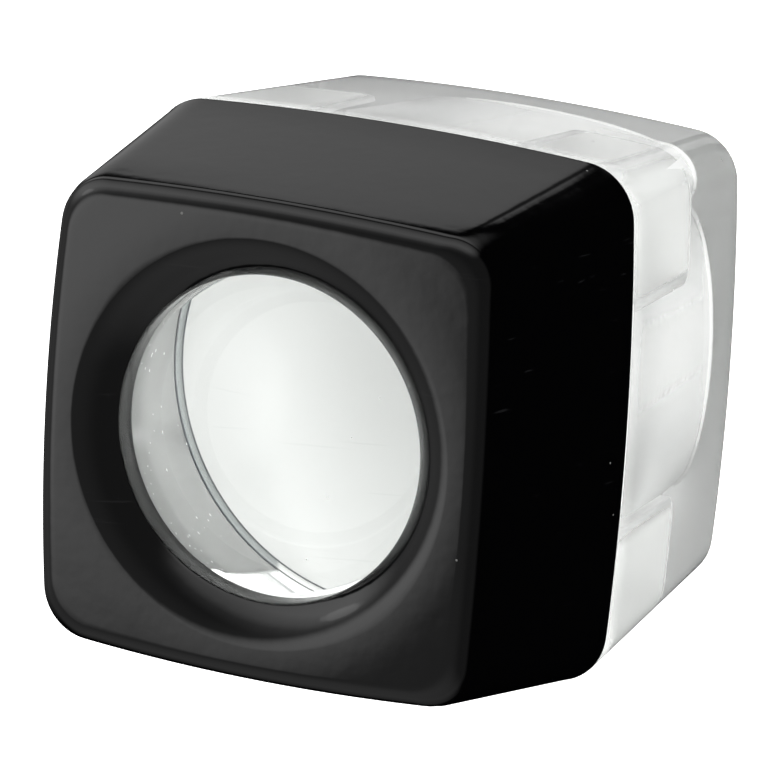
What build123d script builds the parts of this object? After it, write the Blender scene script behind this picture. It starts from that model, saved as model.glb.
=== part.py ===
"""Stand loupe: a black eye cap and a clear standing skirt around one thick lens.

The loupe stands on the film side of its skirt.  Origin at the middle of that face,
+Z along the lens axis towards the eye, millimetres throughout.
"""

import os
from math import sqrt

from build123d import *

os.makedirs("parts", exist_ok=True)

# ---------------------------------------------------------------- overall body
overall_height = 44.0  # film side to the rim of the eye dish
seam_height = 24.0  # where the black cap meets the clear skirt
seam_half_width = 20.0  # 40 mm across the flats at the seam
eye_half_width = 17.6  # half width at the eye face
film_half_width = 17.8  # half width at the film side
side_crown = 0.8  # how far each side bows out at its middle
corner_radius = 4.2
eye_face_radius = 300.0  # the eye face is very slightly domed
eye_edge_radius = 1.5  # rounding around the eye face
film_edge_radius = 0.8  # rounding around the film side
seam_break = 0.15  # tiny broken edge on each side of the seam

# ---------------------------------------------------------------- eye opening
opening_radius = 12.0
dish_radius = 15.0
dish_depth = 1.9
lip_height = 1.9  # straight wall under the dish
lip_underside = overall_height - dish_depth - lip_height

# ---------------------------------------------------------------- lens
lens_radius = 12.3
lens_shoulder = 0.4  # flat ring around each polished dome
dome_edge_radius = lens_radius - lens_shoulder
front_dome_radius = 26.0
rear_dome_radius = 23.0
lens_front = lip_underside
lens_rear = 18.1

# ---------------------------------------------------------------- fits
lens_clearance = 0.3
barrel_clearance = 0.3

# ---------------------------------------------------------------- black cap
cap_wall = 2.0
cap_roof = 2.4
sleeve_bore = lens_radius + lens_clearance
sleeve_wall = 1.8
socket_top = 28.0
socket_bottom = 25.0

# ---------------------------------------------------------------- clear skirt
field_radius = 10.0  # hole the picture is seen through
field_chamfer = 0.4
shelf_radius = 12.0  # shelf that carries the lens
barrel_wall = 2.0
barrel_top = 27.0
barrel_radius = sleeve_bore + barrel_wall
pocket_floor = 10.4
pocket_outer = 17.4  # corner pockets stop this far from the axis
pocket_inner = 8.0
pocket_corner = 1.6
pocket_floor_radius = 0.8


def crowned_square(half_width, level):
    """A square with bowed sides and round corners, flat at the given height."""
    scale = half_width / seam_half_width
    reach = half_width - side_crown * scale
    with BuildSketch(Plane.XY.offset(level)) as outline:
        with BuildLine():
            ThreePointArc((-reach, -reach), (0, -half_width), (reach, -reach))
            ThreePointArc((reach, -reach), (half_width, 0), (reach, reach))
            ThreePointArc((reach, reach), (0, half_width), (-reach, reach))
            ThreePointArc((-reach, reach), (-half_width, 0), (-reach, -reach))
        make_face()
        fillet(outline.vertices(), radius=corner_radius * scale)
    return outline.sketch


def sagitta(sphere_radius, edge_radius):
    """Height of a spherical cap above its rim."""
    return sphere_radius - sqrt(sphere_radius**2 - edge_radius**2)


# ================================================================ cap
# Outer body of the cap: straight tapering sides under a faintly domed eye face.
face_crest = overall_height + sagitta(eye_face_radius, dish_radius)
cap_slope = (seam_half_width - eye_half_width) / (overall_height - seam_height)
dome_stock = 2.0  # extra height that the dome trims away
inner_roof = overall_height - cap_roof
inner_half_seam = seam_half_width - cap_wall
inner_half_roof = inner_half_seam - cap_slope * (inner_roof - seam_height)
collar_outer = barrel_radius + barrel_clearance + sleeve_wall
sleeve_outer = sleeve_bore + sleeve_wall

with BuildPart() as eye_cap:
    stock_top = overall_height + dome_stock
    loft(
        sections=[
            crowned_square(seam_half_width - seam_break, seam_height),
            crowned_square(seam_half_width, seam_height + seam_break),
            crowned_square(eye_half_width - cap_slope * dome_stock, stock_top),
        ],
        ruled=True,
    )
    # Trim the top with a very large sphere.
    with BuildSketch(Plane.XZ) as above_dome:
        with BuildLine():
            rim = 30.0
            rim_height = face_crest - sagitta(eye_face_radius, rim)
            Line((0, face_crest), (0, stock_top + 2))
            Line((0, stock_top + 2), (rim, stock_top + 2))
            Line((rim, stock_top + 2), (rim, rim_height))
            RadiusArc((rim, rim_height), (0, face_crest), -eye_face_radius)
        make_face()
    revolve(axis=Axis.Z, mode=Mode.SUBTRACT)
    # Round the edge all the way around the eye face.
    eye_face = eye_cap.faces().sort_by(Axis.Z)[-1]
    fillet(eye_face.edges(), radius=eye_edge_radius)
    # Hollow inside.
    loft(
        sections=[
            crowned_square(inner_half_seam, seam_height),
            crowned_square(inner_half_roof, inner_roof),
        ],
        ruled=True,
        mode=Mode.SUBTRACT,
    )
    # Lens sleeve with a wider socket below that drops over the skirt's barrel.
    with BuildSketch(Plane.XZ) as sleeve_profile:
        with BuildLine():
            Polyline(
                (opening_radius, inner_roof + 0.5),
                (opening_radius, lip_underside),
                (sleeve_bore, lip_underside),
                (sleeve_bore, socket_top),
                (barrel_radius + barrel_clearance, socket_top),
                (barrel_radius + barrel_clearance, socket_bottom),
                (collar_outer, socket_bottom),
                (collar_outer, socket_top + sleeve_wall),
                (sleeve_outer, socket_top + sleeve_wall),
                (sleeve_outer, inner_roof + 0.5),
                close=True,
            )
        make_face()
    revolve(axis=Axis.Z)
    # Eye opening: a straight hole with a shallow dish sloping down to it.
    with BuildSketch(Plane.XZ) as opening_profile:
        with BuildLine():
            dish_bottom = overall_height - dish_depth
            overshoot = 3.0
            flare = (dish_radius - opening_radius) / dish_depth
            Polyline(
                (0, lip_underside),
                (opening_radius, lip_underside),
                (opening_radius, dish_bottom),
                (dish_radius + flare * overshoot, overall_height + overshoot),
                (0, overall_height + overshoot),
                close=True,
            )
        make_face()
    revolve(axis=Axis.Z, mode=Mode.SUBTRACT)
eye_cap.part.label = "eye_cap"
export_step(eye_cap.part, "parts/eye_cap.step")

# ================================================================ lens
# One thick lens with a polished dome at each end, clamped at its two shoulders.
front_crest = lens_front + sagitta(front_dome_radius, dome_edge_radius)
rear_crest = lens_rear - sagitta(rear_dome_radius, dome_edge_radius)

with BuildPart() as lens:
    with BuildSketch(Plane.XZ) as lens_profile:
        with BuildLine():
            Line((0, rear_crest), (0, front_crest))
            RadiusArc((0, front_crest), (dome_edge_radius, lens_front), front_dome_radius)
            Line((dome_edge_radius, lens_front), (lens_radius, lens_front))
            Line((lens_radius, lens_front), (lens_radius, lens_rear))
            Line((lens_radius, lens_rear), (dome_edge_radius, lens_rear))
            RadiusArc((dome_edge_radius, lens_rear), (0, rear_crest), rear_dome_radius)
        make_face()
    revolve(axis=Axis.Z)
lens.part.label = "lens"
export_step(lens.part, "parts/lens.step")

# ================================================================ skirt
with BuildPart() as skirt:
    # Clear block tapering down to the film side.
    loft(
        sections=[
            crowned_square(film_half_width, 0),
            crowned_square(seam_half_width, seam_height - seam_break),
            crowned_square(seam_half_width - seam_break, seam_height),
        ],
        ruled=True,
    )
    fillet(skirt.faces().sort_by(Axis.Z)[0].edges(), radius=film_edge_radius)
    # Barrel that stands up into the cap and centres it.
    with BuildSketch(Plane.XY.offset(seam_height)) as barrel_outline:
        Circle(barrel_radius)
    extrude(amount=barrel_top - seam_height)
    chamfer(skirt.faces().sort_by(Axis.Z)[-1].edges(), length=0.4)
    # Corner pockets cored from the cap side keep the walls even in thickness.
    with BuildSketch(Plane.XY.offset(pocket_floor)) as pockets:
        with GridLocations(pocket_outer + pocket_inner, pocket_outer + pocket_inner, 2, 2):
            Rectangle(pocket_outer - pocket_inner, pocket_outer - pocket_inner)
        Circle(barrel_radius, mode=Mode.SUBTRACT)
        fillet(pockets.vertices(), radius=pocket_corner)
    extrude(amount=seam_height - pocket_floor, mode=Mode.SUBTRACT)
    pocket_floors = skirt.faces().filter_by_position(Axis.Z, pocket_floor - 0.01, pocket_floor + 0.01)
    fillet(pocket_floors.edges(), radius=pocket_floor_radius)
    # Stepped bore: lens seat, shelf, and a cone narrowing to the field of view.
    with BuildSketch(Plane.XZ) as bore_profile:
        with BuildLine():
            Polyline(
                (0, 0),
                (field_radius + field_chamfer, 0),
                (field_radius, field_chamfer),
                (shelf_radius, lens_rear),
                (sleeve_bore, lens_rear),
                (sleeve_bore, barrel_top),
                (0, barrel_top),
                close=True,
            )
        make_face()
    revolve(axis=Axis.Z, mode=Mode.SUBTRACT)
skirt.part.label = "skirt"
export_step(skirt.part, "parts/skirt.step")

loupe = Compound(label="loupe", children=[eye_cap.part, lens.part, skirt.part])
for piece in loupe.children:
    box = piece.bounding_box()
    print(piece.label, "volume", round(piece.volume, 1), "from", box.min, "to", box.max)
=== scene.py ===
# %% [markdown]
# # A stand loupe in three pieces
# The loupe is a black eye cap, a thick clear lens and a clear standing skirt. The
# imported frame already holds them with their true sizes, so this lesson only asks how
# each one can be drawn finely enough for clear plastic to bend light the way it should.

# %% Load the frame
import math
import bpy
import bmesh
from mathutils import Matrix, Vector, geometry


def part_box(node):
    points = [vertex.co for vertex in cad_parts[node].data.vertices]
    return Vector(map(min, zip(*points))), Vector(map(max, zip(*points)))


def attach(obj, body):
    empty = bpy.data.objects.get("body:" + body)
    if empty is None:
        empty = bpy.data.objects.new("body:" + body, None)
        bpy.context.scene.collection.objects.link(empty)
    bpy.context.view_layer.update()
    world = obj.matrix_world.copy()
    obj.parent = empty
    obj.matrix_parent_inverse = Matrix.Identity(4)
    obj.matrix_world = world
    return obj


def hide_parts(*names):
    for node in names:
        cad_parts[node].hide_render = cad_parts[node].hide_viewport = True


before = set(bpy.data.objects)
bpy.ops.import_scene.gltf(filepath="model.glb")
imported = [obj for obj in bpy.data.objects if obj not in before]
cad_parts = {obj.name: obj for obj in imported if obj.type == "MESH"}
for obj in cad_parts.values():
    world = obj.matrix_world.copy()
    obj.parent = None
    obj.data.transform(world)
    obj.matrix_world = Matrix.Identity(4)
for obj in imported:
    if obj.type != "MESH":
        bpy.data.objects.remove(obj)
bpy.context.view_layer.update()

print("frame nodes:", sorted(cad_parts))

# %% [markdown]
# ## Working sizes
# Everything is in metres, but a moulder thinks in millimetres, so one factor turns the
# drawing's numbers into metres. The heights of the skirt and the cap are read from the frame,
# which keeps this script true to the frame if either is ever moved.

# %% Working sizes
MM = 0.001
def node_height(node):
    low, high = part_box(node)
    return low[2] / MM, high[2] / MM

film_level, barrel_top = node_height("skirt")
seam_level, overall_height = node_height("eye_cap")
print("film side", round(film_level, 2), "seam", round(seam_level, 2), "top", round(overall_height, 2))

seam_half, eye_half, film_half = 20.0, 17.6, 17.8
side_crown, corner_radius = 0.8, 4.2
air_film = 0.03          # thin film of air where two pieces touch
AROUND = 384             # points around every ring

# %% [markdown]
# ## Rings
# Every piece is made of rings stacked along the lens axis. A ring is either a circle or
# the loupe's own outline, a square whose sides bow out a little between round corners.
# The outline is worked out in polar form: going round, a point lies either on one of the
# large side arcs or on a small corner arc. All rings have the same number of points, so
# any ring can be bridged to any other, even a square one to a round one.

# %% Ring helpers
def outline_radius(angle):
    """Distance from the axis to the bowed square outline, for half width seam_half."""
    folded = abs((angle + math.pi / 4) % (math.pi / 2) - math.pi / 4)
    reach = seam_half - side_crown
    arc = (reach**2 + side_crown**2) / (2 * side_crown)
    back = arc - seam_half
    corner = (-back + math.sqrt(2 * (arc - corner_radius)**2 - back**2)) / 2
    tangent = math.atan2(corner, corner + back)
    touch = math.atan2(arc * math.sin(tangent), arc * math.cos(tangent) - back)
    if folded <= touch:
        return -back * math.cos(folded) + math.sqrt(arc**2 - (back * math.sin(folded))**2)
    off_axis = corner * (math.cos(folded) + math.sin(folded))
    return off_axis + math.sqrt(off_axis**2 - 2 * corner**2 + corner_radius**2)

ANGLES = [2 * math.pi * step / AROUND for step in range(AROUND)]
OUTLINE = [outline_radius(angle) / seam_half for angle in ANGLES]

def square_ring(half, level):
    return [(half * far * math.cos(a), half * far * math.sin(a), level)
            for a, far in zip(ANGLES, OUTLINE)]

def round_ring(radius, level):
    return [(radius * math.cos(a), radius * math.sin(a), level) for a in ANGLES]

def blend_rings(first, second, share):
    return [tuple(p + (q - p) * share for p, q in zip(a, b)) for a, b in zip(first, second)]

print("corner reach", round(max(OUTLINE) * seam_half, 2), "mm")

# %% [markdown]
# A stack of rings turns into a mesh by joining each ring to the next with a band of
# four-sided faces. When the last ring joins back to the first the shape is a closed
# tube, like a thick-walled sleeve, which is just what the cap and the skirt are.

# %% Mesh helpers
def new_piece(name, points, faces, sharp_degrees=28):
    mesh = bpy.data.meshes.new(name)
    mesh.from_pydata([(x * MM, y * MM, z * MM) for x, y, z in points], [], faces)
    tidy = bmesh.new()
    tidy.from_mesh(mesh)
    bmesh.ops.remove_doubles(tidy, verts=tidy.verts, dist=1e-7)
    bmesh.ops.recalc_face_normals(tidy, faces=tidy.faces)
    open_edges = sum(1 for edge in tidy.edges if len(edge.link_faces) != 2)
    tidy.to_mesh(mesh)
    tidy.free()
    mesh.shade_smooth()
    mesh.set_sharp_from_angle(angle=math.radians(sharp_degrees))
    piece = bpy.data.objects.new(name, mesh)
    bpy.context.scene.collection.objects.link(piece)
    print(name, len(mesh.polygons), "faces,", open_edges, "open edges")
    return piece

def bands(ring_count, closed):
    faces = []
    last = ring_count if closed else ring_count - 1
    for ring in range(last):
        low, high = ring * AROUND, ((ring + 1) % ring_count) * AROUND
        for step in range(AROUND):
            after = (step + 1) % AROUND
            faces.append((low + step, low + after, high + after, high + step))
    return faces

def arc_points(centre, radius, start, stop, steps):
    """Points on an arc in a plane, angles in radians."""
    return [(centre[0] + radius * math.cos(start + (stop - start) * k / steps),
             centre[1] + radius * math.sin(start + (stop - start) * k / steps))
            for k in range(steps + 1)]

print("mesh helpers ready")

# %% [markdown]
# ## The eye cap
# The cap is a hollow moulding in glossy black plastic. Outside, four straight sides lean
# in towards the eye and end in a rounded edge. The eye face is very slightly domed, which
# is what makes reflections slide across it instead of sitting flat, and a shallow dish
# slopes down to the round opening. Inside, a sleeve holds the lens and a wider socket
# drops over the skirt's barrel.

# %% Cap: outside
face_sphere, dish_radius, dish_depth, opening = 300.0, 15.0, 1.9, 12.0
lean = (seam_half - eye_half) / (overall_height - seam_level)
lean_angle = math.atan(lean)
edge_round = 1.5

def face_level(radius):
    crest = overall_height + face_sphere - math.sqrt(face_sphere**2 - dish_radius**2)
    return crest - (face_sphere - math.sqrt(face_sphere**2 - radius**2))

funnel_start, funnel_depth = 18.0, 0.09

def on_face(ring, sunk=0.0):
    """Lay a ring on the eye face, which already dips a little towards the dish."""
    laid = []
    for x, y, _ in ring:
        inward = max(0.0, (funnel_start - math.hypot(x, y)) / (funnel_start - dish_radius))
        laid.append((x, y, face_level(math.hypot(x, y)) - sunk - funnel_depth * inward**2))
    return laid

cap_rings = []
seam = seam_level + air_film
for inset, rise in ((0.15, 0.0), (0.04, 0.05), (0.0, 0.14)):    # broken edge at the seam
    cap_rings.append(square_ring(seam_half - inset, seam + rise))
flank_start, flank_rise = seam_level + 0.15, overall_height - 2.0 - seam_level
for share in (0.02, 0.25, 0.5, 0.75, 0.97):
    level = flank_start + flank_rise * share
    cap_rings.append(square_ring(seam_half - lean * (level - seam_level), level))
side_half = seam_half - lean * (overall_height - edge_round - seam_level)
round_centre_half = side_half - edge_round / math.cos(lean_angle)
EDGE_STEPS, edge_end = 12, math.radians(87)
for k in range(EDGE_STEPS + 1):
    turn = lean_angle + (edge_end - lean_angle) * k / EDGE_STEPS
    ring = square_ring(round_centre_half + edge_round * math.cos(turn), 0)
    cap_rings.append(on_face(ring, edge_round * (1 - math.sin(turn))))
edge_ring = cap_rings[-1]
print("cap outside rings:", len(cap_rings))

# %% Cap: eye face, dish and opening
lip_height = 1.9
dish_bottom = overall_height - dish_depth
lip_underside = dish_bottom - lip_height
rim = round_ring(dish_radius, 0)
for share in (0.08, 0.2, 0.35, 0.5, 0.65, 0.8, 0.92, 1.0):
    cap_rings.append(on_face(blend_rings(edge_ring, rim, share)))
rim_slope, dish_width = 0.12, dish_radius - opening    # the dish starts almost level
curl = (dish_depth - funnel_depth) / dish_width - rim_slope
DISH_STEPS, dish_share = 26, 0.97
for k in range(1, DISH_STEPS + 1):
    share = dish_share * k / DISH_STEPS
    sunk = funnel_depth + dish_width * (rim_slope * share + curl * share**2)
    cap_rings.append(round_ring(dish_radius - dish_width * share, overall_height - sunk))
for spread, drop in ((0.02, 0.03), (0.0, 0.12)):    # broken edge of the lip
    cap_rings.append(round_ring(opening + spread, dish_bottom - drop))
for level in (dish_bottom - 0.9, lip_underside + air_film + 0.06):
    cap_rings.append(round_ring(opening, level))
cap_rings.append(round_ring(opening + 0.04, lip_underside + air_film))
print("opening", 2 * opening, "mm wide, lip", round(dish_bottom - lip_underside, 2), "mm tall")

# %% [markdown]
# The inside of the cap shows through the clear skirt, so it gets its real walls: the
# lens sleeve, the stepped socket under it, the roof between sleeve and sides, and the
# inner faces of the two-millimetre walls.

# %% Cap: inside
sleeve, sleeve_wall, wall, roof = 12.6, 1.8, 2.0, 2.4
barrel_radius = sleeve + 2.0
socket = barrel_radius + 0.3
sleeve_middle, socket_top, socket_end, bevel = 34.0, 28.0, 25.0, 0.1
sleeve_outside, socket_outside = sleeve + sleeve_wall, socket + sleeve_wall
inner_roof = overall_height - roof
for radius, level in (
    (sleeve, lip_underside + air_film), (sleeve, sleeve_middle),
    (sleeve, socket_top + 0.05), (sleeve + 0.05, socket_top), (socket, socket_top),
    (socket, socket_end + bevel), (socket + bevel, socket_end),
    (socket_outside - bevel, socket_end), (socket_outside, socket_end + bevel),
    (socket_outside, socket_top + sleeve_wall),
    (sleeve_outside, socket_top + sleeve_wall), (sleeve_outside, inner_roof - 0.3),
    (sleeve_outside + 0.3, inner_roof),
):
    cap_rings.append(round_ring(radius, level))
inner_half = seam_half - wall
roof_half = inner_half - lean * (inner_roof - seam_level)
wall_middle = 8.0
for half, level in ((roof_half - 0.5, inner_roof), (roof_half, inner_roof - 0.5),
                    (inner_half - lean * wall_middle, seam_level + wall_middle),
                    (inner_half, seam)):
    cap_rings.append(square_ring(half, level))
cap_points = [point for ring in cap_rings for point in ring]
cap = new_piece("cap_shell", cap_points, bands(len(cap_rings), closed=True))

# %% [markdown]
# ## The lens
# One thick block of clear plastic with a polished dome at each end. Looking in from the
# eye side, its round side wall shows as a grey crescent, because light that meets the
# wall at a shallow angle is thrown back inside. Two flat shoulders, top and bottom, are
# what the cap and the skirt clamp, and from the eye side the lower shoulder shows as a
# pair of fine dark lines. The domes need many rings, or the view through them ripples.

# %% Lens
shelf_level = 18.1
lens_low, lens_high = shelf_level + air_film, lip_underside
lens_radius, dome_edge = 12.3, 11.9
front_sphere, rear_sphere = 26.0, 23.0
shoulder_start, shoulder_end = dome_edge + 0.06, lens_radius - 0.08
DOME_STEPS, WALL_STEPS = 40, 6

def dome_drop(sphere, radius):
    return math.sqrt(sphere**2 - radius**2) - math.sqrt(sphere**2 - dome_edge**2)

lens_profile = []
for k in range(1, DOME_STEPS + 1):
    radius = dome_edge * k / DOME_STEPS
    lens_profile.append((radius, lens_low - dome_drop(rear_sphere, radius)))
lens_profile += [(shoulder_start, lens_low), (shoulder_end, lens_low), (lens_radius, lens_low + 0.08)]
for k in range(1, WALL_STEPS):
    lens_profile.append((lens_radius, lens_low + (lens_high - lens_low) * k / WALL_STEPS))
lens_profile += [(lens_radius, lens_high - 0.08), (shoulder_end, lens_high), (shoulder_start, lens_high)]
for k in range(DOME_STEPS, 0, -1):
    radius = dome_edge * k / DOME_STEPS
    lens_profile.append((radius, lens_high + dome_drop(front_sphere, radius)))
lens_points = [point for radius, level in lens_profile for point in round_ring(radius, level)]
lens_faces = bands(len(lens_profile), closed=False)
rear_crest, front_crest = len(lens_points), len(lens_points) + 1
lens_points.append((0, 0, lens_low - dome_drop(rear_sphere, 0)))
lens_points.append((0, 0, lens_high + dome_drop(front_sphere, 0)))
top_start = (len(lens_profile) - 1) * AROUND
for step in range(AROUND):
    after = (step + 1) % AROUND
    lens_faces.append((step, after, rear_crest))
    lens_faces.append((top_start + step, top_start + after, front_crest))
lens = new_piece("lens_body", lens_points, lens_faces)
print("lens", round(lens_points[front_crest][2] - lens_points[rear_crest][2], 2), "mm thick")

# %% [markdown]
# ## The clear skirt
# A thick clear moulding that tapers down to the film side. A stepped bore runs through
# it: a seat for the lens, a shelf under the lens, and a cone that narrows to the field
# of view. Four blind pockets are cored into the corners from the cap side, so that no
# part of the wall is too thick to mould. Seen through the sides the pockets and the bore
# are what makes the clear plastic read as light and dark bands.
#
# The pockets have an odd outline: two straight walls outside, two inside, and a hollow
# arc that follows the barrel. The outline is built from its arcs, and it can be drawn
# inset by any small amount, which is how the rounded floor is made.

# %% Pocket outline
pocket_near, pocket_far, pocket_round = 8.0, 17.4, 1.6
pocket_floor, floor_round = 10.4, 0.8
pocket_hub = barrel_radius + 0.15

def pocket_outline(inset):
    r = pocket_round
    reach = pocket_hub + r
    side = math.sqrt(reach**2 - (pocket_near + r)**2)
    turn = math.atan2(pocket_near + r, side)
    outline = arc_points((side, pocket_near + r), r - inset, math.pi + turn, 1.5 * math.pi, 10)
    outline += arc_points((pocket_far - r, pocket_near + r), r - inset, -math.pi / 2, 0, 12)
    outline += arc_points((pocket_far - r, pocket_far - r), r - inset, 0, math.pi / 2, 12)
    outline += arc_points((pocket_near + r, pocket_far - r), r - inset, math.pi / 2, math.pi, 12)
    outline += arc_points((pocket_near + r, side), r - inset, math.pi, 1.5 * math.pi - turn, 10)
    hollow = arc_points((0, 0), pocket_hub + inset, math.pi / 2 - turn, turn, 16)
    return outline + hollow[1:-1]

def quarter_turn(outline, quarter):
    cosine, sine = ((1, 0), (0, 1), (-1, 0), (0, -1))[quarter]
    return [(x * cosine - y * sine, x * sine + y * cosine) for x, y in outline]

print("points round one pocket:", len(pocket_outline(0)))

# %% [markdown]
# The skirt's outside and bore are rings again, from the edge of the bottom face up the
# sides and, separately, from the barrel down through the bore. The flat top face between
# them has four pocket holes in it, so it is filled with triangles that keep every given
# edge, and each pocket hangs below its hole as its own little stack of rings.

# %% Skirt: sides and bore
top = seam_level - air_film
field, shelf, film_round, barrel_chamfer = 10.0, 12.0, 0.8, 0.4
cone_start, cone_end, CONE_STEPS = shelf_level - 0.05, 0.45, 12
bore_rings = [round_ring(radius, level) for radius, level in (
    (barrel_radius, top), (barrel_radius, barrel_top - barrel_chamfer),
    (barrel_radius - barrel_chamfer, barrel_top), (sleeve + bevel, barrel_top),
    (sleeve, barrel_top - bevel), (sleeve, barrel_top - 3.0), (sleeve, barrel_top - 6.0),
    (sleeve, shelf_level + 0.05), (sleeve - 0.05, shelf_level), (shelf + 0.05, shelf_level),
    (shelf, cone_start))]
for k in range(1, CONE_STEPS + 1):
    level = cone_start + (cone_end - cone_start) * k / CONE_STEPS
    bore_rings.append(round_ring(shelf + (field - shelf) * k / CONE_STEPS, level))
mouth = field + 0.4
bore_rings.append(round_ring(field + 0.05, film_level + 0.3))
bore_rings.append(round_ring(mouth, film_level))
skirt_lean = math.atan((seam_half - film_half) / seam_level)
round_start = film_half + film_round * (math.tan(skirt_lean) - 1 / math.cos(skirt_lean))
foot = arc_points((round_start, film_round), film_round, -math.pi / 2, -skirt_lean, 9)
foot_ring = square_ring(foot[0][0], foot[0][1])
for share in (0.25, 0.5, 0.75):
    bore_rings.append(blend_rings(round_ring(mouth, film_level), foot_ring, share))
for half, level in foot:
    bore_rings.append(square_ring(half, level))
SIDE_STEPS, side_start, side_end = 10, foot[-1][1], top - 0.15
for k in range(1, SIDE_STEPS + 1):
    level = side_start + (side_end - side_start) * k / SIDE_STEPS
    bore_rings.append(square_ring(film_half + (seam_half - film_half) * level / seam_level, level))
for inset, drop in ((0.05, 0.04), (0.13, 0.0)):    # broken edge at the seam
    bore_rings.append(square_ring(seam_half - inset, top - drop))
skirt_points = [point for ring in bore_rings for point in ring]
skirt_faces = bands(len(bore_rings), closed=False)
print("skirt rings:", len(bore_rings))

# %% [markdown]
# A pocket is a stack of its own outline. It opens a little at the mouth, runs straight
# down, and then draws in over a rounded floor, where the inset and the level follow a
# quarter circle. One pocket is worked out and turned to the other three corners.

# %% Skirt: pocket steps
MOUTH_INSETS, POCKET_STEPS, FLOOR_STEPS = (0.12, 0.03, 0.0), 6, 8
mouth_foot = top - MOUTH_INSETS[0]
insets = [-opened for opened in MOUTH_INSETS] + [0.0] * POCKET_STEPS
levels = [top, top - MOUTH_INSETS[1], mouth_foot]
straight = pocket_floor + floor_round - mouth_foot
levels += [mouth_foot + straight * k / POCKET_STEPS for k in range(1, POCKET_STEPS + 1)]
for k in range(1, FLOOR_STEPS + 1):
    turn = math.pi / 2 * k / FLOOR_STEPS
    insets.append(floor_round * (1 - math.cos(turn)))
    levels.append(pocket_floor + floor_round * (1 - math.sin(turn)))
print("pocket rings:", len(insets), "depth", round(top - pocket_floor, 2), "mm")

# %% Skirt: pockets
loops = []
for quarter in range(4):
    start = len(skirt_points)
    count = len(pocket_outline(0))
    for inset, level in zip(insets, levels):
        skirt_points += [(x, y, level) for x, y in quarter_turn(pocket_outline(inset), quarter)]
    for ring in range(len(insets) - 1):
        for step in range(count):
            after = (step + 1) % count
            low, high = start + ring * count, start + (ring + 1) * count
            skirt_faces.append((low + step, low + after, high + after, high + step))
    loops.append(list(range(start, start + count)))
    floor_loop = range(start + (len(insets) - 1) * count, start + len(insets) * count)
    skirt_faces.append(tuple(floor_loop))
print("pockets:", len(loops))

# %% [markdown]
# The top face is what is left between the outside edge, the barrel and the four pocket
# mouths. A triangle is kept when its middle lies in plastic, which a simple count of
# crossed edges can tell.

# %% Skirt: top face helpers
def point_inside(x, y, outline):
    inside = False
    for (ax, ay), (bx, by) in zip(outline, outline[1:] + outline[:1]):
        if (ay > y) != (by > y) and x < ax + (y - ay) * (bx - ax) / (by - ay):
            inside = not inside
    return inside

def in_plastic(x, y):
    if math.hypot(x, y) < barrel_radius:
        return False
    for quarter in range(4):
        if point_inside(x, y, quarter_turn(pocket_outline(-MOUTH_INSETS[0]), quarter)):
            return False
    return True

print("middle of the lens seat is plastic:", in_plastic(0, 0))

# %% Skirt: top face
outer_start = (len(bore_rings) - 1) * AROUND
loops.append(list(range(outer_start, outer_start + AROUND)))
loops.append(list(range(AROUND)))
flat = [(skirt_points[i][0], skirt_points[i][1]) for loop in loops for i in loop]
owner = [i for loop in loops for i in loop]
edges, place = [], 0
for loop in loops:
    edges += [(place + k, place + (k + 1) % len(loop)) for k in range(len(loop))]
    place += len(loop)
nearness = 1e-6
filled = geometry.delaunay_2d_cdt([Vector(p) for p in flat], edges, [], 0, nearness)
triangles, kept = filled[2], filled[3]
for triangle in triangles:
    corners = [owner[kept[i][0]] for i in triangle]
    middle_x = sum(skirt_points[i][0] for i in corners) / 3
    middle_y = sum(skirt_points[i][1] for i in corners) / 3
    if in_plastic(middle_x, middle_y):
        skirt_faces.append(tuple(corners))
skirt = new_piece("skirt_body", skirt_points, skirt_faces)

# %% [markdown]
# ## Fixing the pieces to the frame
# Each drawn piece stands for one solid of the frame and rides on the same body, so it
# goes wherever the real piece would go.

# %% Ride and replace
for piece, node, slot in ((cap, "eye_cap", "cap_black"), (lens, "lens", "lens_clear"),
                          (skirt, "skirt", "skirt_clear")):
    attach(piece, "root")
    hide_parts(node)
    print(piece.name, "stands for", node)

# %% [markdown]
# ## Effects shared by the plastics
# Fine scratches are long thin streaks in a few directions. Each direction is the same
# noise, squeezed until its grains turn into lines, and only the strongest lines are kept.
# Dust is a scatter of cells of which only the very centre counts. Both are groups, so
# that the cap, the lens and the skirt can each wear them at their own strength.

# %% Group helpers
def new_group(name, inputs, outputs):
    group = bpy.data.node_groups.new(name, "ShaderNodeTree")
    for label, value in inputs:
        entry = group.interface.new_socket(label, in_out="INPUT", socket_type="NodeSocketFloat")
        entry.default_value = value
    for label in outputs:
        group.interface.new_socket(label, in_out="OUTPUT", socket_type="NodeSocketFloat")
    return group, group.nodes.new("NodeGroupInput"), group.nodes.new("NodeGroupOutput")

def wire(tree, source, target):
    tree.links.new(source, target)

def maths(tree, operation, first, second=None, clamp=False):
    node = tree.nodes.new("ShaderNodeMath")
    node.operation = operation
    node.use_clamp = clamp
    for slot_number, value in enumerate((first, second)):
        if value is None:
            continue
        if isinstance(value, (int, float)):
            node.inputs[slot_number].default_value = value
        else:
            wire(tree, value, node.inputs[slot_number])
    return node.outputs[0]

def step_up(tree, value, low, high, bottom=0.0, top=1.0):
    node = tree.nodes.new("ShaderNodeMapRange")
    node.interpolation_type = "SMOOTHSTEP"
    wire(tree, value, node.inputs["Value"])
    for label, number in (("From Min", low), ("From Max", high), ("To Min", bottom), ("To Max", top)):
        node.inputs[label].default_value = number
    return node.outputs["Result"]

print("group helpers ready")

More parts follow.
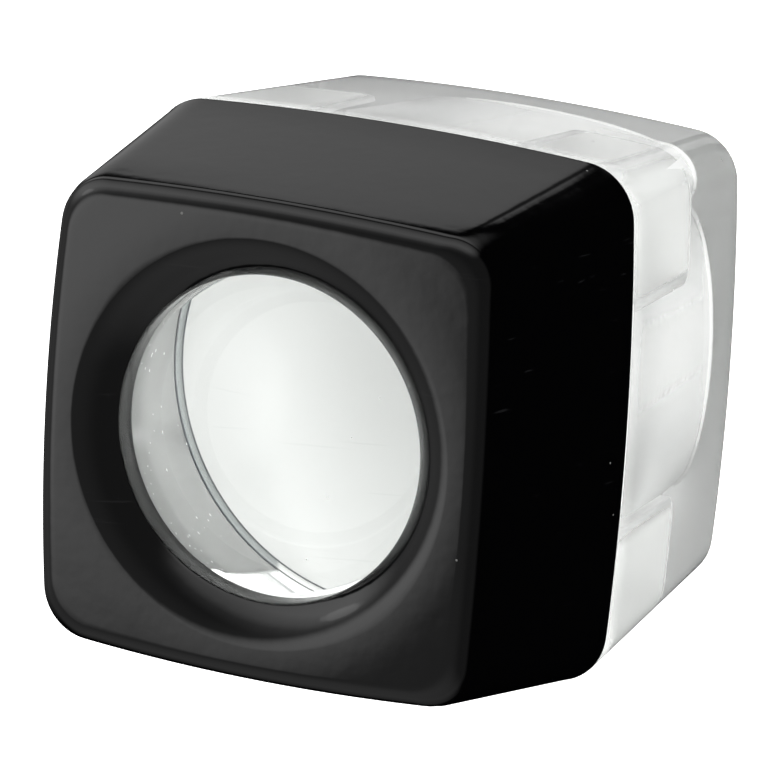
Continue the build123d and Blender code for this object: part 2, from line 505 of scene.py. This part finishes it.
# %% Fine scratches
scratches, scratch_in, scratch_out = new_group("fine_scratches", [("Amount", 0.5)], ["Scratch"])
where = scratches.nodes.new("ShaderNodeTexCoord").outputs["Object"]
squeeze = (60, 3200, 300)              # long along one way, thin across the other
rarity, reach_of_amount, sharpness = 0.80, 0.12, 18.0
directions = ((0.35, 0.1, 0.0), (1.25, -0.3, 4.2), (2.3, 0.5, 9.1), (2.9, 1.2, 13.7))
total = None
for turn, tilt, seed in directions:
    spin = scratches.nodes.new("ShaderNodeMapping")
    spin.inputs["Rotation"].default_value = (tilt, 0.4 * tilt, turn)
    spin.inputs["Scale"].default_value = squeeze
    spin.inputs["Location"].default_value = (seed, seed * 0.7, seed * 1.3)
    wire(scratches, where, spin.inputs["Vector"])
    grain = scratches.nodes.new("ShaderNodeTexNoise")
    grain.inputs["Scale"].default_value = 1.0
    grain.inputs["Detail"].default_value = 1.0
    wire(scratches, spin.outputs["Vector"], grain.inputs["Vector"])
    lowered = maths(scratches, "MULTIPLY", scratch_in.outputs["Amount"], reach_of_amount)
    cut = maths(scratches, "SUBTRACT", rarity, lowered)
    crest = maths(scratches, "SUBTRACT", grain.outputs["Fac"], cut)
    line = maths(scratches, "MULTIPLY", crest, sharpness, clamp=True)
    total = line if total is None else maths(scratches, "MAXIMUM", total, line)
wire(scratches, total, scratch_out.inputs["Scratch"])
print("scratch directions:", len(directions))

# %% Dust specks
dust_settings = [("Scale", 900.0), ("Size", 0.1), ("Share", 0.12)]
dust, dust_in, dust_out = new_group("dust_specks", dust_settings, ["Speck"])
cells = dust.nodes.new("ShaderNodeTexVoronoi")
wire(dust, dust.nodes.new("ShaderNodeTexCoord").outputs["Object"], cells.inputs["Vector"])
wire(dust, dust_in.outputs["Scale"], cells.inputs["Scale"])
pick = dust.nodes.new("ShaderNodeSeparateColor")
wire(dust, cells.outputs["Color"], pick.inputs["Color"])
chosen = maths(dust, "LESS_THAN", pick.outputs["Red"], dust_in.outputs["Share"])
size = maths(dust, "MULTIPLY", dust_in.outputs["Size"], maths(dust, "ADD", 0.3, pick.outputs["Green"]))
near = maths(dust, "LESS_THAN", cells.outputs["Distance"], size)
wire(dust, maths(dust, "MULTIPLY", chosen, near), dust_out.inputs["Speck"])
print("dust group ready")

# %% [markdown]
# ## Moulded surface
# Moulded plastic is never dead flat: it has long soft waves where it shrank. Two noises
# are enough, a slow swell and a fourteen times finer ripple, added as one height. They
# are no deeper than a reflection needs to look slightly drawn.

# %% Moulded surface
ripple_ratio, noise_detail = 14.0, 1.5
waves, waves_in, waves_out = new_group("moulded_waves", [("Scale", 60.0), ("Grain", 0.2)], ["Height"])
swell = waves.nodes.new("ShaderNodeTexNoise")
ripple = waves.nodes.new("ShaderNodeTexNoise")
place_node = waves.nodes.new("ShaderNodeTexCoord")
for node in (swell, ripple):
    wire(waves, place_node.outputs["Object"], node.inputs["Vector"])
    node.inputs["Detail"].default_value = noise_detail
wire(waves, waves_in.outputs["Scale"], swell.inputs["Scale"])
wire(waves, maths(waves, "MULTIPLY", waves_in.outputs["Scale"], ripple_ratio), ripple.inputs["Scale"])
grainy = maths(waves, "MULTIPLY", ripple.outputs["Fac"], waves_in.outputs["Grain"])
wire(waves, maths(waves, "ADD", swell.outputs["Fac"], grainy), waves_out.inputs["Height"])
print("wave group ready")

# %% [markdown]
# ## Distance from the axis and height, as masks
# The clear pieces are polished in some places and satin in others. Both are turned
# shapes, so how far a point is from the lens axis, and how high it is, is enough to say
# which surface it lies on. Small helpers then ask whether a value is above or under a
# size given in millimetres, or fade from one such size to another.

# %% Masks by radius and height
place_group, _, place_out = new_group("axis_radius_and_height", [], ["Radius", "Height", "Flat"])
xyz = place_group.nodes.new("ShaderNodeSeparateXYZ")
wire(place_group, place_group.nodes.new("ShaderNodeTexCoord").outputs["Object"], xyz.inputs[0])
square_x = maths(place_group, "MULTIPLY", xyz.outputs["X"], xyz.outputs["X"])
square_y = maths(place_group, "MULTIPLY", xyz.outputs["Y"], xyz.outputs["Y"])
from_axis = maths(place_group, "SQRT", maths(place_group, "ADD", square_x, square_y))
wire(place_group, from_axis, place_out.inputs["Radius"])
wire(place_group, xyz.outputs["Z"], place_out.inputs["Height"])
off_x = maths(place_group, "ABSOLUTE", xyz.outputs["X"])
off_y = maths(place_group, "ABSOLUTE", xyz.outputs["Y"])
wire(place_group, maths(place_group, "MAXIMUM", off_x, off_y), place_out.inputs["Flat"])
print("mask outputs: radius, height, distance from the flats")

# %% Mask helpers
def above(tree, value, size):
    return maths(tree, "GREATER_THAN", value, size * MM)

def under(tree, value, size):
    return maths(tree, "LESS_THAN", value, size * MM)

def fade(tree, value, first, last, bottom=0.0, top=1.0):
    """Like step_up, with the two limits in millimetres."""
    return step_up(tree, value, first * MM, last * MM, bottom, top)

print("mask helpers ready")

# %% [markdown]
# ## Helpers for the materials
# A material starts from the Principled shader, which stays in the material itself. The
# helpers place a group in it, lay one bump over another and mix two colours by a mask.

# %% Material helpers
def use_group(tree, group, **values):
    node = tree.nodes.new("ShaderNodeGroup")
    node.node_tree = group
    for label, value in values.items():
        node.inputs[label].default_value = value
    return node.outputs

def new_material(name):
    material = bpy.data.materials.new(name)
    material.use_nodes = True
    return material, material.node_tree, material.node_tree.nodes["Principled BSDF"]

def bump(tree, height, strength, distance, before=None):
    node = tree.nodes.new("ShaderNodeBump")
    node.inputs["Strength"].default_value = strength
    node.inputs["Distance"].default_value = distance
    wire(tree, height, node.inputs["Height"])
    if before is not None:
        wire(tree, before, node.inputs["Normal"])
    return node.outputs["Normal"]

def marked(tree, base, streaks, specks, streak_roughness, speck_roughness):
    """Roughness of a surface with its scratches and dust laid over the base roughness."""
    rough_streaks = maths(tree, "MULTIPLY", streaks, streak_roughness)
    rough_specks = maths(tree, "MULTIPLY", specks, speck_roughness)
    marks = maths(tree, "ADD", rough_streaks, rough_specks)
    return maths(tree, "ADD", base, marks, clamp=True)

def two_colours(tree, mask, first, second):
    node = tree.nodes.new("ShaderNodeMix")
    node.data_type = "RGBA"
    wire(tree, mask, node.inputs[0])
    for slot_number, value in ((6, first), (7, second)):
        if isinstance(value, tuple):
            node.inputs[slot_number].default_value = (*value, 1.0)
        else:
            wire(tree, value, node.inputs[slot_number])
    return node.outputs[2]

print("material helpers ready")

# %% [markdown]
# ## Black plastic
# The cap is a hard black plastic straight from a polished mould: nearly black in colour,
# with a sharp gloss. What makes it look real is small: faint wiping scratches that catch
# the light, a few dust specks, and a gloss that is a little uneven.

# %% Cap material
fresh_black, wiped_black = (0.0006, 0.0006, 0.0007), (0.006, 0.006, 0.0064)
pale_dust = (0.16, 0.16, 0.155)
hard_plastic_index, acrylic_index = 1.5, 1.49
cap_material, tree, surface = new_material("black_moulded_plastic")
surface.inputs["IOR"].default_value = hard_plastic_index
streaks = use_group(tree, scratches, Amount=0.28)["Scratch"]
specks = use_group(tree, dust, Scale=560.0, Size=0.05, Share=0.10)["Speck"]
swells = use_group(tree, waves, Scale=55.0, Grain=0.10)["Height"]
dark = two_colours(tree, streaks, fresh_black, wiped_black)
wire(tree, two_colours(tree, specks, dark, pale_dust), surface.inputs["Base Color"])
cap_sharp, cap_cloudy = 0.045, 0.10
cloud = step_up(tree, swells, 0.35, 0.75, cap_sharp, cap_cloudy)
gloss = marked(tree, cloud, streaks, specks, streak_roughness=0.10, speck_roughness=0.5)
wire(tree, gloss, surface.inputs["Roughness"])
fine = bump(tree, streaks, strength=0.06, distance=0.02 * MM)
coarse = bump(tree, swells, strength=0.22, distance=0.4 * MM, before=fine)
wire(tree, coarse, surface.inputs["Normal"])
cap.data.materials.append(cap_material)
print("cap finish:", len(tree.nodes), "nodes")

# %% [markdown]
# ## Clear plastic of the lens
# Acrylic bends light a little less than glass does, so its index is 1.49. The domes are
# polished. The side wall is left satin from turning, and it is this wall that looks grey
# from the eye side. The lower flat shoulder is painted darker, with two near-black lines
# at its corners: painted shade for the gap where the lens sits on the skirt's shelf.

# %% Lens masks
lens_material, tree, surface = new_material("lens_acrylic")
surface.inputs["IOR"].default_value = acrylic_index
surface.inputs["Transmission Weight"].default_value = 1.0
place = use_group(tree, place_group)
wall_mask = above(tree, place["Radius"], lens_radius - 0.04)
low_down = under(tree, place["Height"], lens_low + 0.12)
# Painted shade: the two fine lines and the seat below mark where the lens is darkened in colour for the
# gap on the skirt's shelf.
inner_gap_shadow = maths(tree, "MULTIPLY", fade(tree, place["Radius"], dome_edge - 0.04, dome_edge),
                   fade(tree, place["Radius"], dome_edge + 0.04, dome_edge + 0.08, 1.0, 0.0))
outer_gap_shadow = fade(tree, place["Radius"], lens_radius - 0.10, lens_radius - 0.06)
gap_shadow_lines = maths(tree, "MULTIPLY", maths(tree, "MAXIMUM", inner_gap_shadow, outer_gap_shadow), low_down)
seat = maths(tree, "MULTIPLY", fade(tree, place["Radius"], dome_edge, dome_edge + 0.04), low_down)
print("lens masks: wall, shoulder, two dark lines")

# %% [markdown]
# The wall is satin all round but for three marks of use. It has a polished edge under
# the lip, a flat rubbed clean on the -Y side, and one faint lighter band. Each is a soft
# step across a straight line, and the line may lean a little along the axis.

# %% Lens wall marks
axes = tree.nodes.new("ShaderNodeSeparateXYZ")
wire(tree, tree.nodes.new("ShaderNodeTexCoord").outputs["Object"], axes.inputs[0])
polished_edge = fade(tree, place["Height"], lens_high - 0.55, lens_high - 0.40)
rub_lean, rub_start, rub_full = 0.05, -7.3, -7.0
slant = maths(tree, "MULTIPLY", axes.outputs["Z"], rub_lean)
slanted = maths(tree, "SUBTRACT", axes.outputs["X"], slant)
rubbed = maths(tree, "MULTIPLY", fade(tree, slanted, rub_start, rub_full),
               under(tree, axes.outputs["Y"], 0.0))
bright_parts = maths(tree, "MAXIMUM", polished_edge, rubbed)
band_lean, band_place, band_reach, band_polish = 0.126, 7.22, 1.2, 0.22
slant = maths(tree, "MULTIPLY", axes.outputs["Z"], band_lean)
leaning = maths(tree, "SUBTRACT", axes.outputs["Y"], slant)
off_band = maths(tree, "ABSOLUTE", maths(tree, "ADD", leaning, band_place * MM))
pale_band = maths(tree, "MULTIPLY", fade(tree, off_band, 0.0, band_reach, band_polish, 0.0),
                  under(tree, axes.outputs["X"], 0.0))
print("wall marks: polished edge, rubbed flat, pale band")

# %% Lens colour
clear_acrylic, scratched_acrylic = (0.965, 0.98, 0.968), (0.90, 0.92, 0.905)
# Painted shade: the next two dark tints stand in for the shadow of the gap under the lens.
seat_shade_tint, gap_shadow_tint = (0.20, 0.225, 0.225), (0.02, 0.023, 0.028)
streaks = use_group(tree, scratches, Amount=0.30)["Scratch"]
specks = use_group(tree, dust, Scale=620.0, Size=0.055, Share=0.16)["Speck"]
clear = two_colours(tree, streaks, clear_acrylic, scratched_acrylic)
# The seat keeps its painted shade everywhere but on the rubbed flat.
seat = maths(tree, "MULTIPLY", seat, maths(tree, "SUBTRACT", 1.0, rubbed))
shade_seated = two_colours(tree, seat, clear, seat_shade_tint)
wire(tree, two_colours(tree, gap_shadow_lines, shade_seated, gap_shadow_tint), surface.inputs["Base Color"])
print("lens colour wired")

# %% Lens polish
wall_roughness = 0.96
dull = maths(tree, "SUBTRACT", wall_roughness, pale_band)
dull = maths(tree, "MULTIPLY", dull, maths(tree, "SUBTRACT", 1.0, bright_parts))
satin = maths(tree, "MULTIPLY", wall_mask, dull)
gloss = marked(tree, satin, streaks, specks, streak_roughness=0.03, speck_roughness=0.3)
wire(tree, gloss, surface.inputs["Roughness"])
fine = bump(tree, streaks, strength=0.04, distance=0.01 * MM)
wire(tree, fine, surface.inputs["Normal"])
print("wall roughness", wall_roughness)

# %% [markdown]
# Acrylic draws dust, and the motes on the wall catch light, as do its polished parts. A
# little emission is a plain way to get that sparkle without a strong lamp.

# %% Lens wall: motes and polished parts
edge_glow, mote_glow = (0.55, 0.56, 0.55), (0.7, 0.7, 0.68)
motes = use_group(tree, dust, Scale=1250.0, Size=0.10, Share=0.75)["Speck"]
lit_motes = maths(tree, "MULTIPLY", motes, wall_mask)
catching = maths(tree, "MULTIPLY", bright_parts, wall_mask)
glint = two_colours(tree, catching, (0.0, 0.0, 0.0), edge_glow)
wire(tree, two_colours(tree, lit_motes, glint, mote_glow), surface.inputs["Emission Color"])
surface.inputs["Emission Strength"].default_value = 1.0
lens.data.materials.append(lens_material)
print("lens finish:", len(tree.nodes), "nodes")

# %% [markdown]
# ## Clear plastic of the skirt
# Outside the skirt is polished like the lens. The bore is left satin, so that it glows
# evenly and the slide under the lens has nothing bright around it. The cored pockets and
# the film side come from the mould a little less polished than the outside.

# %% Skirt masks
skirt_material, tree, surface = new_material("skirt_acrylic")
surface.inputs["IOR"].default_value = acrylic_index
surface.inputs["Transmission Weight"].default_value = 1.0
place = use_group(tree, place_group)
bore_mask = maths(tree, "MULTIPLY", under(tree, place["Radius"], shelf + 0.15),
                  above(tree, place["Height"], cone_end))
pocket_mask = maths(tree, "MULTIPLY", above(tree, place["Height"], pocket_floor - 0.4),
                    under(tree, place["Flat"], pocket_far + 0.04))
off_barrel = above(tree, place["Radius"], barrel_radius - 0.1)
pocket_mask = maths(tree, "MULTIPLY", pocket_mask, off_barrel)
film_side = under(tree, place["Height"], 0.3)
print("skirt masks: bore, pockets, film side")

# %% Skirt colour
thin_tint, thick_tint = (0.82, 0.83, 0.817), (0.77, 0.78, 0.77)
# Painted shade and painted light: the bore is tinted darker and the pockets lighter than the rest of the
# same clear plastic.
bore_shade_tint, pocket_light_tint = (0.72, 0.727, 0.72), (0.96, 0.965, 0.96)
speck_tint = (0.25, 0.25, 0.25)
streaks = use_group(tree, scratches, Amount=0.4)["Scratch"]
specks = use_group(tree, dust, Scale=420.0, Size=0.06, Share=0.10)["Speck"]
swells = use_group(tree, waves, Scale=120.0, Grain=0.15)["Height"]
tone_and_painted_light = two_colours(tree, step_up(tree, swells, 0.4, 0.75), thin_tint, thick_tint)
# The random tone above gets painted shade in the bore and painted light in the pockets.
tone_and_painted_light = two_colours(tree, bore_mask, tone_and_painted_light, bore_shade_tint)
tone_and_painted_light = two_colours(tree, pocket_mask, tone_and_painted_light, pocket_light_tint)
wire(tree, two_colours(tree, specks, tone_and_painted_light, speck_tint), surface.inputs["Base Color"])
print("skirt colour wired")

# %% Skirt polish
skirt_sharp, skirt_cloudy = 0.05, 0.11
satin = step_up(tree, swells, 0.35, 0.8, skirt_sharp, skirt_cloudy)
for mask, roughness in ((bore_mask, 0.6), (pocket_mask, 0.35), (film_side, 0.35)):
    satin = maths(tree, "ADD", satin, maths(tree, "MULTIPLY", mask, roughness))
gloss = marked(tree, satin, streaks, specks, streak_roughness=0.04, speck_roughness=0.4)
wire(tree, gloss, surface.inputs["Roughness"])
fine = bump(tree, streaks, strength=0.05, distance=0.01 * MM)
coarse = bump(tree, swells, strength=0.15, distance=0.1 * MM, before=fine)
wire(tree, coarse, surface.inputs["Normal"])
skirt.data.materials.append(skirt_material)
print("skirt finish:", len(tree.nodes), "nodes")

# %% [markdown]
# ## Light table and room
# A loupe like this is used on a light table, so it stands on one: a pale floor that
# glows evenly. The glow comes up through the clear skirt and the lens. The room is a
# set of soft lights and strips, each a smooth patch of brightness in some direction, and
# they give the black plastic its slow gradients. The floor is kept out of mirror
# reflections, so that the gloss of the cap shows the room instead of one flat white, and
# it is clear from below, so that the film side can be looked at.

# %% Light table
floor_mesh = bpy.data.meshes.new("light_table")
reach, table_level, glow = 2.5, -0.02 * MM, 1.35
corners = [(x * reach, y * reach, table_level) for x, y in ((-1, -1), (1, -1), (1, 1), (-1, 1))]
floor_mesh.from_pydata(corners, [], [(0, 1, 2, 3)])
floor = bpy.data.objects.new("light_table", floor_mesh)
bpy.context.scene.collection.objects.link(floor)
floor.visible_glossy = False
floor_material, tree, surface = new_material("light_table_glow")
surface.inputs["Base Color"].default_value = (0.8, 0.8, 0.8, 1.0)
surface.inputs["Roughness"].default_value = 0.9
surface.inputs["Emission Color"].default_value = (1.0, 1.0, 1.0, 1.0)
surface.inputs["Emission Strength"].default_value = glow
under_side = tree.nodes.new("ShaderNodeNewGeometry").outputs["Backfacing"]
wire(tree, maths(tree, "SUBTRACT", 1.0, under_side), surface.inputs["Alpha"])
floor_mesh.materials.append(floor_material)
print("light table is", round(2 * reach, 1), "m wide")

# %% [markdown]
# ## The room
# The room is built in the world shader from two kinds of light. One is a soft round patch
# of brightness in a given direction. The other is a profile, a row of brightness values
# along one axis, which draws long soft bands like shelves by a window.

# %% Room: helpers
room = bpy.data.worlds.new("soft_room")
bpy.context.scene.world = room
room.use_nodes = True
sky = room.node_tree
direction = sky.nodes.new("ShaderNodeTexCoord").outputs["Generated"]
split = sky.nodes.new("ShaderNodeSeparateXYZ")
wire(sky, direction, split.inputs[0])

def toward(aim, edge, core):
    """A soft round light in the given direction, full inside core, gone at edge, degrees."""
    dot = sky.nodes.new("ShaderNodeVectorMath")
    dot.operation = "DOT_PRODUCT"
    wire(sky, direction, dot.inputs[0])
    dot.inputs[1].default_value = Vector(aim).normalized()
    return step_up(sky, dot.outputs["Value"], math.cos(math.radians(edge)), math.cos(math.radians(core)))

def profile(value, points):
    """Brightness along one axis of the room, from points (place between -1 and 1, brightness)."""
    ramp = sky.nodes.new("ShaderNodeValToRGB")
    wire(sky, maths(sky, "MULTIPLY", maths(sky, "ADD", value, 1.0), 0.5), ramp.inputs["Fac"])
    knots = ramp.color_ramp.elements
    while len(knots) < len(points):
        knots.new(0.5)
    for knot, (place, brightness) in zip(knots, points):
        knot.position = (place + 1) / 2
        knot.color = (brightness / 2, brightness / 2, brightness / 2, 1.0)
    return maths(sky, "MULTIPLY", ramp.outputs["Color"], 2.0)

print("room helpers ready")

# %% Room: soft lights
ceiling = 0.16
lights = step_up(sky, split.outputs["Z"], -0.10, 0.25, 0.0, ceiling)
soft_lights = (                              # aim, edge and core in degrees, strength
    ((-0.62, -0.05, 0.78), 26, 8, 1.50),     # large soft lamp, high on the -X side
    ((-0.97, 0.20, 0.18), 62, 20, 0.26),     # pale wall on the -X side
    ((-0.84, 0.39, 0.38), 8, 5, 0.90),       # narrow window
    ((-0.28, -0.27, 0.92), 60, 6, 0.12),     # second, weaker lamp overhead
    ((-0.10, -0.93, 0.32), 50, 15, 0.25),    # faint light on the -Y side
)
for aim, edge, core, strength in soft_lights:
    lights = maths(sky, "ADD", lights, maths(sky, "MULTIPLY", toward(aim, edge, core), strength))
print("soft lights:", len(soft_lights))

# %% [markdown]
# The rounded edge over the cap's +Y side mirrors what stands on that side of the loupe, and
# the +Y side itself mirrors what lies lower there. Both get bands of light, so that the
# black plastic shows a few lines.

# %% Room: bands of light
behind = toward((-0.42, 0.90, 0.05), 62, 40)
shelves = profile(split.outputs["Z"], (
    (-0.70, 0.0), (-0.66, 0.45), (-0.60, 0.75), (-0.45, 0.85), (-0.40, 0.10), (-0.30, 0.15),
    (-0.22, 0.60), (0.00, 1.00), (0.30, 1.25), (0.50, 0.80), (0.62, 0.25), (0.80, 0.0)))
lights = maths(sky, "ADD", lights, maths(sky, "MULTIPLY", behind, shelves))
below = profile(split.outputs["X"], (
    (-0.80, 0.30), (-0.50, 0.43), (-0.30, 0.46), (-0.27, 0.05), (-0.22, 0.08), (-0.18, 0.50),
    (-0.10, 0.45), (-0.06, 0.04), (0.02, 0.05), (0.08, 0.28), (0.30, 0.10), (0.50, 0.0)))
low_mask = maths(sky, "MULTIPLY", step_up(sky, split.outputs["Z"], -0.735, -0.765, 0.0, 1.0),
                 step_up(sky, split.outputs["Y"], -0.15, 0.10))
lights = maths(sky, "ADD", lights, maths(sky, "MULTIPLY", low_mask, below))
print("room nodes:", len(sky.nodes))

# %% [markdown]
# A mirror reflection off the plastic sees these lights. Everything else, such as light on
# its way through the clear walls, sees one even level, so that the clear pieces stay calm.
# This is a studio trick and not how light behaves.

# %% Room: what reflections see and what clear plastic sees
light_path = sky.nodes.new("ShaderNodeLightPath")
gloss_ray = maths(sky, "MULTIPLY", light_path.outputs["Is Glossy Ray"],
                  maths(sky, "SUBTRACT", 1.0, light_path.outputs["Is Transmission Ray"]))
soft_level = 0.92
reflected = maths(sky, "MULTIPLY", lights, gloss_ray)
through = maths(sky, "MULTIPLY", soft_level, maths(sky, "SUBTRACT", 1.0, gloss_ray))
background = sky.nodes["Background"]
wire(sky, maths(sky, "ADD", reflected, through), background.inputs["Strength"])
background.inputs["Color"].default_value = (1.0, 1.0, 1.0, 1.0)
print("even level", soft_level)

# %% [markdown]
# ## Light path
# Light crosses many clear walls before it leaves the skirt. The usual number of bounces
# would leave black patches in the corners, so it is followed for longer.

# %% Light path
cycles = bpy.context.scene.cycles
cycles.max_bounces = 32
cycles.transmission_bounces = 32
cycles.glossy_bounces = 12
print("light is followed for", cycles.max_bounces, "bounces")

# %% [markdown]
# ## Camera
# The loupe is looked at from in front and slightly to one side of its eye face, with
# its +Y side up. A long lens keeps the sides nearly parallel.

# %% Camera
right = Vector((0.897, 0.058, -0.439)).normalized()
toward_camera = Vector((0.412, 0.255, 0.875)).normalized()
up = toward_camera.cross(right).normalized()
right = up.cross(toward_camera)
middle_height, nudge_right, nudge_down, distance = 24.0, 0.74, 0.14, 587.0
aim = (Vector((0, 0, middle_height)) + right * nudge_right - up * nudge_down) * MM
camera_data = bpy.data.cameras.new("camera")
camera_data.lens = 369.2
camera_data.sensor_width = 36.0
camera_data.clip_start = 10 * MM
camera = bpy.data.objects.new("camera", camera_data)
stand = Matrix((right, up, toward_camera)).transposed().to_4x4()
stand.translation = aim + toward_camera * distance * MM
camera.matrix_world = stand
bpy.context.scene.collection.objects.link(camera)
bpy.context.scene.camera = camera
bpy.context.scene.view_settings.view_transform = "Standard"
print("camera at", tuple(round(c, 3) for c in camera.location))
